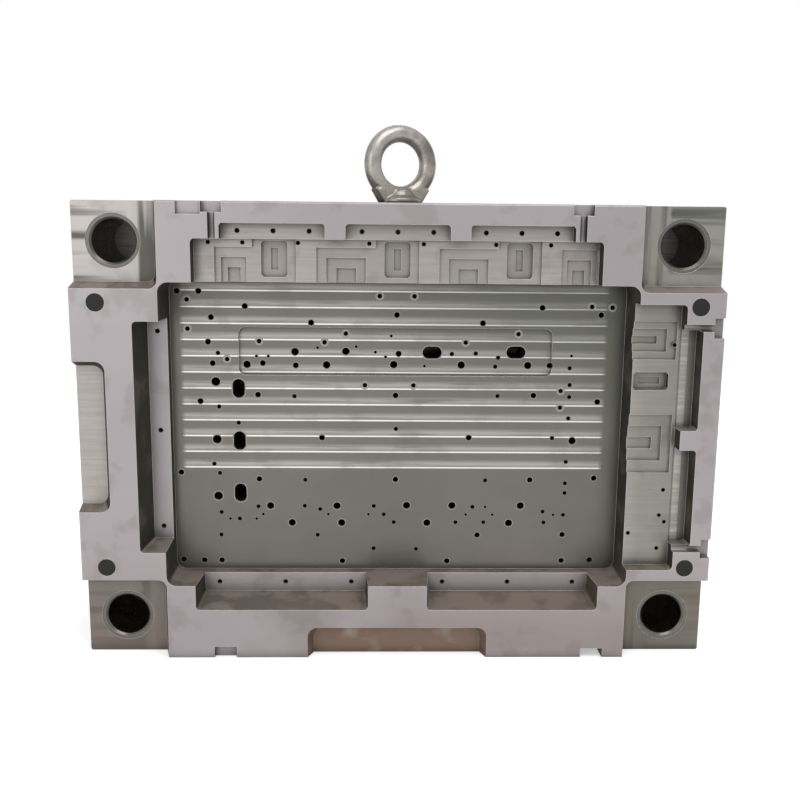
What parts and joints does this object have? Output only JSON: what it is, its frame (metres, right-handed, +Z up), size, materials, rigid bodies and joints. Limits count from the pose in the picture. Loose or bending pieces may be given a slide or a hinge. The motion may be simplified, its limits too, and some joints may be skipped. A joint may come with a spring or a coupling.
{
  "type": "mould base half",
  "caption": "Moving half of an injection mould base: milled core plate with insert pocket, slide seats and guide bores, ejector stack behind it, and a lifting eye on top.",
  "frame": {"origin": "middle of the underside of the whole stack, on the floor it stands on", "axes": "+X along the long edge to the viewer's right, +Z up towards the lifting eye, -Y out of the parting face; the clamp plate is at +Y"},
  "size_m": [0.9, 0.31, 0.759],
  "materials": {
    "core_steel": "milled and ground tool steel, light rust and oil stains",
    "plate_steel": "ground structural steel, oiled",
    "hard_steel": "hardened and ground",
    "spring_steel": "painted flat-wire spring",
    "black_screw": "black-oxide alloy steel",
    "eye_steel": "forged, zinc dulled by handling"
  },
  "bodies": {
    "mould_frame": {"core_plate": "core_steel", "guide_bushes": "hard_steel", "spacer_block_lower": "plate_steel", "spacer_block_upper": "plate_steel", "clamp_plate": "plate_steel", "support_pillars": "hard_steel", "stop_buttons": "hard_steel", "clamp_screws": "black_screw", "pillar_screws": "black_screw", "dowels": "hard_steel", "return_spring_upper_left": "spring_steel", "return_spring_upper_right": "spring_steel", "return_spring_lower_left": "spring_steel", "return_spring_lower_right": "spring_steel"},
    "ejector_set": {"ejector_retainer_plate": "plate_steel", "ejector_backing_plate": "plate_steel", "return_pin_upper_left": "hard_steel", "return_pin_upper_right": "hard_steel", "return_pin_lower_left": "hard_steel", "return_pin_lower_right": "hard_steel", "ejector_plate_screws": "black_screw"},
    "lifting_eye": {"eyebolt": "eye_steel"}
  },
  "joints": [
    {"name": "ejector_slide", "type": "slide", "parent": "mould_frame", "child": "ejector_set", "axis": [0, -1, 0], "range_m": [0, 0.045], "stiffness_N_per_m": 40000, "springref_m": -0.01, "deforming": ["return_spring_upper_left", "return_spring_upper_right", "return_spring_lower_left", "return_spring_lower_right"]},
    {"name": "eyebolt_turn", "type": "hinge", "parent": "mould_frame", "child": "lifting_eye", "pos_m": [0, -0.08, 0.65], "axis": [0, 0, 1], "range_deg": [-90, 90]}
  ]
}
